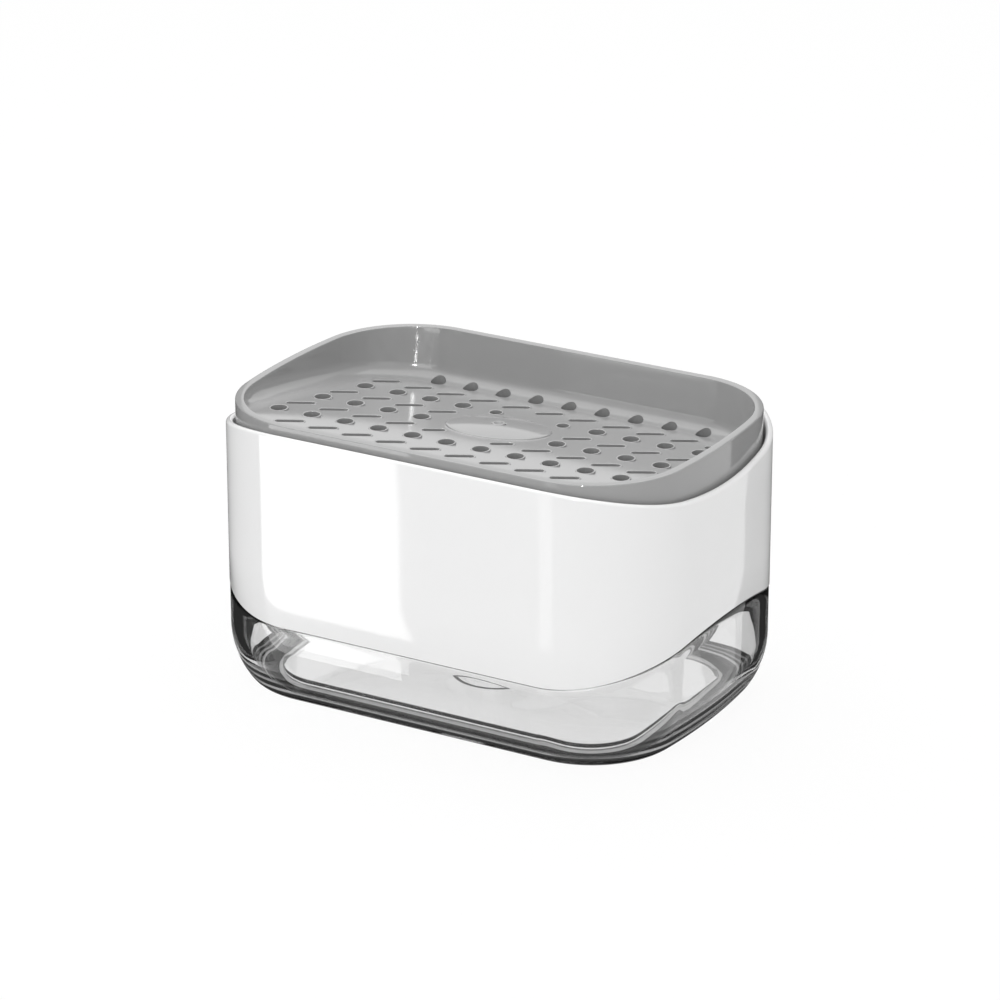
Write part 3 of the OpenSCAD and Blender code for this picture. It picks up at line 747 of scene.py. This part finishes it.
def cutDrains(shell):  # cuts the grid into the shell and gives the collars round its mouths
    cutters, collars, patterns = [], [], {}
    lastRow = drains["rows"] - 1
    for j in range(drains["rows"]):
        y, slot, inFillet = drains["pitchY"] * (j - lastRow / 2), j % 2 == 0, j == lastRow
        last = drains["longRow"] if 0 < j < lastRow else drains["shortRow"]
        for i in range(-last, last + 1):
            x = drains["pitchX"] * i
            reach = math.hypot(x, y) / dome["radius"]
            if reach < drains["clear"]:
                continue
            key = (slot, drains["nearScale"] if reach < drains["near"] else 1, inFillet)
            if key not in patterns:
                patterns[key] = makeDrain(*key)
            cutters.append(copyOnFloor(patterns[key][0], x, y))
            if not inFillet:
                collars.append(copyOnFloor(patterns[key][1], x, y))
    for pair in patterns.values():
        for piece in pair:
            bpy.data.objects.remove(piece)
    cutter = joinInto("drainCutters", cutters)
    applyModifier(shell, "BOOLEAN", operation="DIFFERENCE", object=cutter, solver="EXACT")
    bpy.data.objects.remove(cutter)
    return collars


web = {"drop": 4, "width": 1.2, "bite": 0.3, "wallBite": 0.5, "endGap": 0.6, "round": 0.2,
       "pitches": 2.5}


def makeTrayWebs():  # crossed ribs that hang under the sloped floor
    webs = []
    under, half = tray["floor"] / math.cos(tilt), web["width"] / 2
    low, high = -web["drop"] - under, web["bite"] - under
    inner = tray["edgeIn"] + tray["wall"] - web["wallBite"]
    for side in (-1, 1):
        x, y = side * web["pitches"] * drains["pitchX"], body["depth"] / 2 - inner
        webs.append(roundedBlock("web", (x - half, -y, low), (x + half, y, high), web["round"]))
        x, y = body["length"] / 2 - inner - web["endGap"], side * drains["pitchY"]
        webs.append(roundedBlock("web", (-x, y - half, low), (x, y + half, high), web["round"]))
    for piece in webs:
        for vertex in piece.data.vertices:
            vertex.co.z += floorAt(vertex.co.y / mm) * mm
    return webs


trayBody = makeTrayShell()
trayDrains = cutDrains(trayBody)
trayBody = joinInto("trayBody", [trayBody] + trayDrains + makeTrayWebs(), tray["smooth"])
applyModifier(trayBody, "WEIGHTED_NORMAL", keep_sharp=True, weight=tray["normalWeight"])
setMaterial(trayBody, finishes["grey_gloss"])
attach(trayBody, "tray")
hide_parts("tray")
print("tray: done")

# The spout in the middle of the dome.
spout = {
    "foot": 69.65, "radius": 1.8, "round": 0.3, "roundAngles": (0, 30, 60, 90),
    "cupRadius": 1.2, "cup": 0.6, "holeRadius": 0.7, "top": 73.72, "smooth": 35,
    "footEdge": [(-0.1, 0), (0, 0.1)], "cupEdge": [(0.1, 0), (0, -0.1)]}


def makeSpout():
    radius, soft, top = spout["radius"], spout["round"], spout["top"]
    rings = edgeRings([
        (circleLoop, spout["holeRadius"], spout["foot"], plain),
        (circleLoop, radius, spout["foot"], spout["footEdge"])])
    rings += [flat(circleLoop(radius - soft * (1 - math.cos(turn))),
                   top - soft + soft * math.sin(turn))
              for turn in anglesOf(spout["roundAngles"])]
    rings += edgeRings([
        (circleLoop, spout["cupRadius"], top, spout["cupEdge"]),
        (circleLoop, spout["holeRadius"], top - spout["cup"], spout["cupEdge"])])
    return loftRings("spoutTip", rings, "loop", spout["smooth"])


spoutTip = makeSpout()
setMaterial(spoutTip, finishes["grey_gloss"])
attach(spoutTip, "tray")
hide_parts("nozzle_insert")
print("spout: done")

spring = {"node": "return_spring", "joint": "plunger_press", "merge": 0.00001, "smooth": 60}


def makeSpring():  # the CAD wire, merged and smoothed
    pick()
    wire = frame["nodes"][spring["node"]].copy()
    wire.data = wire.data.copy()
    bpy.context.scene.collection.objects.link(wire)
    pick(wire)
    editAll()
    bpy.ops.mesh.remove_doubles(threshold=spring["merge"])
    bpy.ops.object.mode_set(mode="OBJECT")
    return finishPiece("springWire", spring["smooth"])


def strokeOf(name):
    joints = frame["record"]["behaviour"]["joints"]
    return [joint["range_m"][1] for joint in joints if joint["name"] == name][0]


springWire = makeSpring()
springLow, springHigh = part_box(spring["node"])
springLength = springHigh[2] - springLow[2]
pressed = strokeOf(spring["joint"])
setMaterial(springWire, finishes["steel"])
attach(springWire, "cover")
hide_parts(spring["node"])
1 - pressed / springLength
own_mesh(springWire)
print("spring: done")

# The stage, in metres.
stage = {"floorShade": 0.9, "floorSize": 6, "worldShade": 0.42, "floorGlow": 0.92}


def makeFloor():
    pick()
    bpy.ops.mesh.primitive_plane_add(size=stage["floorSize"], location=(0, 0, 0))
    floor = bpy.context.view_layer.objects.active
    floor.name = "studioFloor"
    paint = newPaint("studioFloor")
    dull = paint.node("ShaderNodeBsdfDiffuse", {}, {"Color": grey(stage["floorShade"])})
    share = paint.background() * stage["floorGlow"]
    mixed = paint.node("ShaderNodeMixShader", {}, {0: share, 1: dull, 2: paint.glow(1.0)})
    setMaterial(floor, paint.finish({"Surface": mixed}))


def makeWorld():
    world = bpy.data.worlds.new("studioWorld")
    bpy.context.scene.world = world
    paint = Paint(world)
    soft, white = [
        paint.node("ShaderNodeBackground", {}, {"Color": grey(1.0), "Strength": strength})
        for strength in (stage["worldShade"], 1.0)]
    mixed = paint.node("ShaderNodeMixShader", {}, {0: paint.background(), 1: soft, 2: white})
    paint.finish({"Surface": mixed}, "ShaderNodeOutputWorld")


lamps = [
    {"name": "topSoftbox", "place": (-0.15, 0.12, 0.9), "size": (1.5, 1.5), "power": 11.5},
    {"name": "frontSoftbox", "place": (0.2, -1.1, 0.5), "size": (0.5, 0.6), "power": 2.4},
    {"name": "sideSoftbox", "place": (1.0, -0.6, 0.5), "size": (0.5, 0.6), "power": 0.5},
]
lampAim = (0, 0, 0.05)
camera = {"place": (0.5596, -0.9589, 0.4836), "aim": (0.000303, 0.000177, 0.05154),
          "lens": 159.6, "sensor": 36, "far": 20}


def aimAt(piece, target):
    direction = [t - p for t, p in zip(target, piece.location)]
    level = math.hypot(direction[0], direction[1])
    piece.rotation_euler = (math.atan2(level, -direction[2]), 0,
                            math.atan2(-direction[0], direction[1]))


def addToStage(name, data, place, aim):
    made = bpy.data.objects.new(name, data)
    bpy.context.scene.collection.objects.link(made)
    made.location = place
    aimAt(made, aim)
    return made


def makeLamps():
    for lamp in lamps:
        data = bpy.data.lights.new(lamp["name"], "AREA")
        data.shape = "RECTANGLE"
        data.size, data.size_y = lamp["size"]
        data.energy = lamp["power"]
        addToStage(lamp["name"], data, lamp["place"], lampAim)


def makeCamera():
    data = bpy.data.cameras.new("photoCamera")
    data.lens = camera["lens"]
    data.sensor_width = camera["sensor"]
    data.clip_end = camera["far"]
    made = addToStage("photoCamera", data, camera["place"], camera["aim"])
    bpy.context.scene.camera = made


cards = [  # seen only in reflections and through the clear plastic
    {"name": "leftFlag", "place": (-0.1308, 0.0745, 0.06), "aim": (0, 0.15, 0.06),
     "size": (0.30, 0.12), "glow": 0.03},
    {"name": "rightFlag", "place": (0.0001, 0.1517, 0.06), "aim": (-0.1308, 0.0762, 0.06),
     "size": (0.30, 0.12), "glow": 0.03},
    {"name": "leftPanel", "place": (-0.055, -0.0785, 0.04), "aim": (-0.055, 0, 0.04),
     "size": (0.07, 0.10), "glow": 4.4},
    {"name": "rightPanel", "place": (0.022, -0.11, 0.04), "aim": (0.022, 0, 0.04),
     "size": (0.02, 0.10), "glow": 2.2},
    {"name": "streakStrip", "place": (0.257, -0.706, 0.34), "aim": (0, 0, 0.07),
     "size": (0.035, 0.16), "glow": 150},
]
paintedShadeRings = {  # painted shade: dark and grey rings on the table round the foot, seen only in reflections and through the clear plastic, that darken the tank's lower edges
    "height": 0.3,
    "edges": [15.2, 14.3, 12.6, 7.1, 5.6, 4.2, 3.2, 1.6, 0.7, -1.6],  # in from the outline
    "glows": [0.20, 0.50, 0.04, 0.45, 0.04, 0.35, 0.05, 0.30, 0.06],
    "sumpShadeRadii": (11.0, 12.1), "sumpShadeGlow": 0.06}


def hideCard(card, glow):
    paint = newPaint(card.name)
    setMaterial(card, paint.finish({"Surface": paint.glow(glow)}))
    card.visible_camera = card.visible_diffuse = card.visible_shadow = False


def makePaintedShadeCard(name, loop, edges, glow):
    rings = [flat(loop(edge), paintedShadeRings["height"]) for edge in edges]
    hideCard(loftRings(name, rings), glow)


def makeCards():
    for card in cards:
        pick()
        bpy.ops.mesh.primitive_plane_add(size=1, location=card["place"])
        made = bpy.context.view_layer.objects.active
        made.name = card["name"]
        made.scale = (*card["size"], 1)
        aimAt(made, card["aim"])
        hideCard(made, card["glow"])
    # rings of painted shade round the foot
    edges = paintedShadeRings["edges"]
    for inner, outer, glow in zip(edges, edges[1:], paintedShadeRings["glows"]):
        makePaintedShadeCard("paintedShadeCard", outline, (inner, outer), glow)
    # a dark ring of painted shade on the table under the sump, seen through the clear plastic
    makePaintedShadeCard("paintedSumpShade", circleLoop, paintedShadeRings["sumpShadeRadii"], paintedShadeRings["sumpShadeGlow"])


makeCards()
makeFloor()
makeWorld()
makeLamps()
makeCamera()
bpy.context.scene.view_settings.view_transform = "Standard"
print("stage: done")
